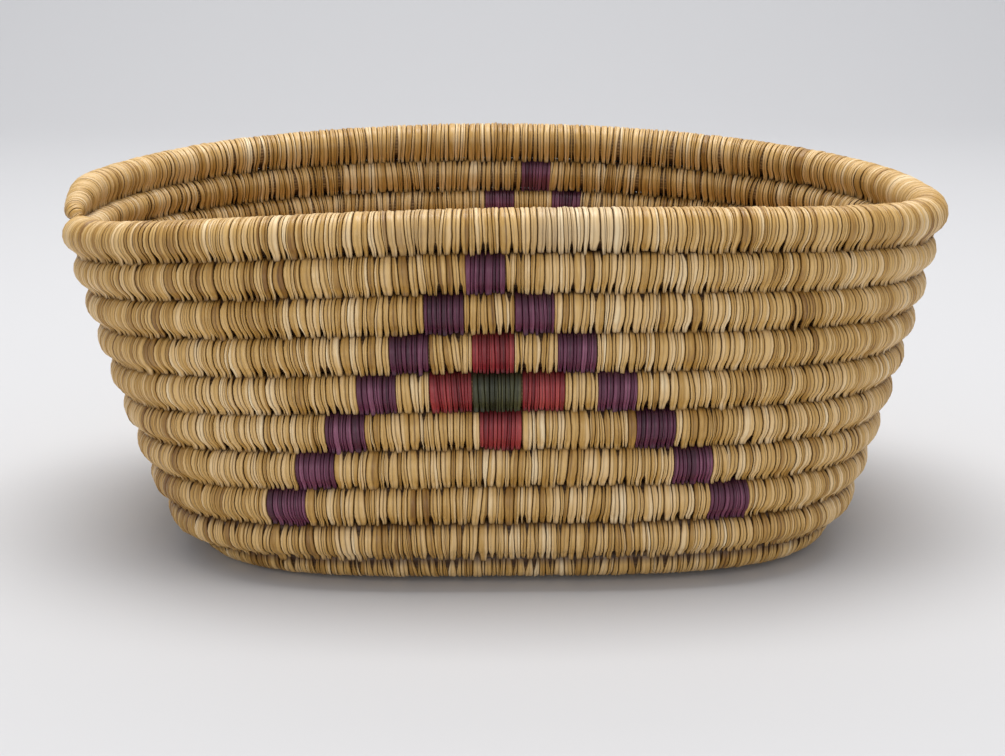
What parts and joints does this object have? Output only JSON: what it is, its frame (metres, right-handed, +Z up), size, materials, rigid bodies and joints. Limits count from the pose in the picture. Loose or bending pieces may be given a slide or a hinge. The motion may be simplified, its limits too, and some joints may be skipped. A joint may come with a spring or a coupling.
{
  "type": "grass basket",
  "caption": "Oval coiled grass basket with an open top, a flat base, walls that lean out and a stepped triangle motif with a cross inside.",
  "frame": {"origin": "on the surface the basket stands on, midway between its ends and between its sides", "axes": "+X towards the right end, seen from the front; +Y from the front wall to the back wall; +Z up, out of the opening"},
  "size_m": [0.2998, 0.1952, 0.126],
  "materials": {
    "natural_grass": "dry split grass strips, straw-coloured, satin",
    "purple_grass": "dyed split grass strips, dull purple, matt",
    "red_grass": "dyed split grass strips, dull red, matt",
    "green_grass": "dyed split grass strips, dark olive green, matt"
  },
  "bodies": {
    "root": {"base_centre": "natural_grass", "base_coil_1": "natural_grass", "base_coil_2": "natural_grass", "base_coil_3": "natural_grass", "base_coil_4": "natural_grass", "base_coil_5": "natural_grass", "wall_row_1": "natural_grass", "wall_row_2": "natural_grass", "wall_row_3": "natural_grass", "wall_row_4": "natural_grass", "wall_row_5": "natural_grass", "wall_row_6": "natural_grass", "wall_row_7": "natural_grass", "wall_row_8": "natural_grass", "wall_row_9": "natural_grass", "rim_coil": "natural_grass", "back_green_6": "green_grass", "back_purple_3_left": "purple_grass", "back_purple_3_right": "purple_grass", "back_purple_4_left": "purple_grass", "back_purple_4_right": "purple_grass", "back_purple_5_left": "purple_grass", "back_purple_5_right": "purple_grass", "back_purple_6_left": "purple_grass", "back_purple_6_right": "purple_grass", "back_purple_7_left": "purple_grass", "back_purple_7_right": "purple_grass", "back_purple_8_left": "purple_grass", "back_purple_8_right": "purple_grass", "back_purple_9": "purple_grass", "back_red_5": "red_grass", "back_red_6_left": "red_grass", "back_red_6_right": "red_grass", "back_red_7": "red_grass", "front_green_6": "green_grass", "front_purple_3_left": "purple_grass", "front_purple_3_right": "purple_grass", "front_purple_4_left": "purple_grass", "front_purple_4_right": "purple_grass", "front_purple_5_left": "purple_grass", "front_purple_5_right": "purple_grass", "front_purple_6_left": "purple_grass", "front_purple_6_right": "purple_grass", "front_purple_7_left": "purple_grass", "front_purple_7_right": "purple_grass", "front_purple_8_left": "purple_grass", "front_purple_8_right": "purple_grass", "front_purple_9": "purple_grass", "front_red_5": "red_grass", "front_red_6_left": "red_grass", "front_red_6_right": "red_grass", "front_red_7": "red_grass"}
  },
  "joints": []
}
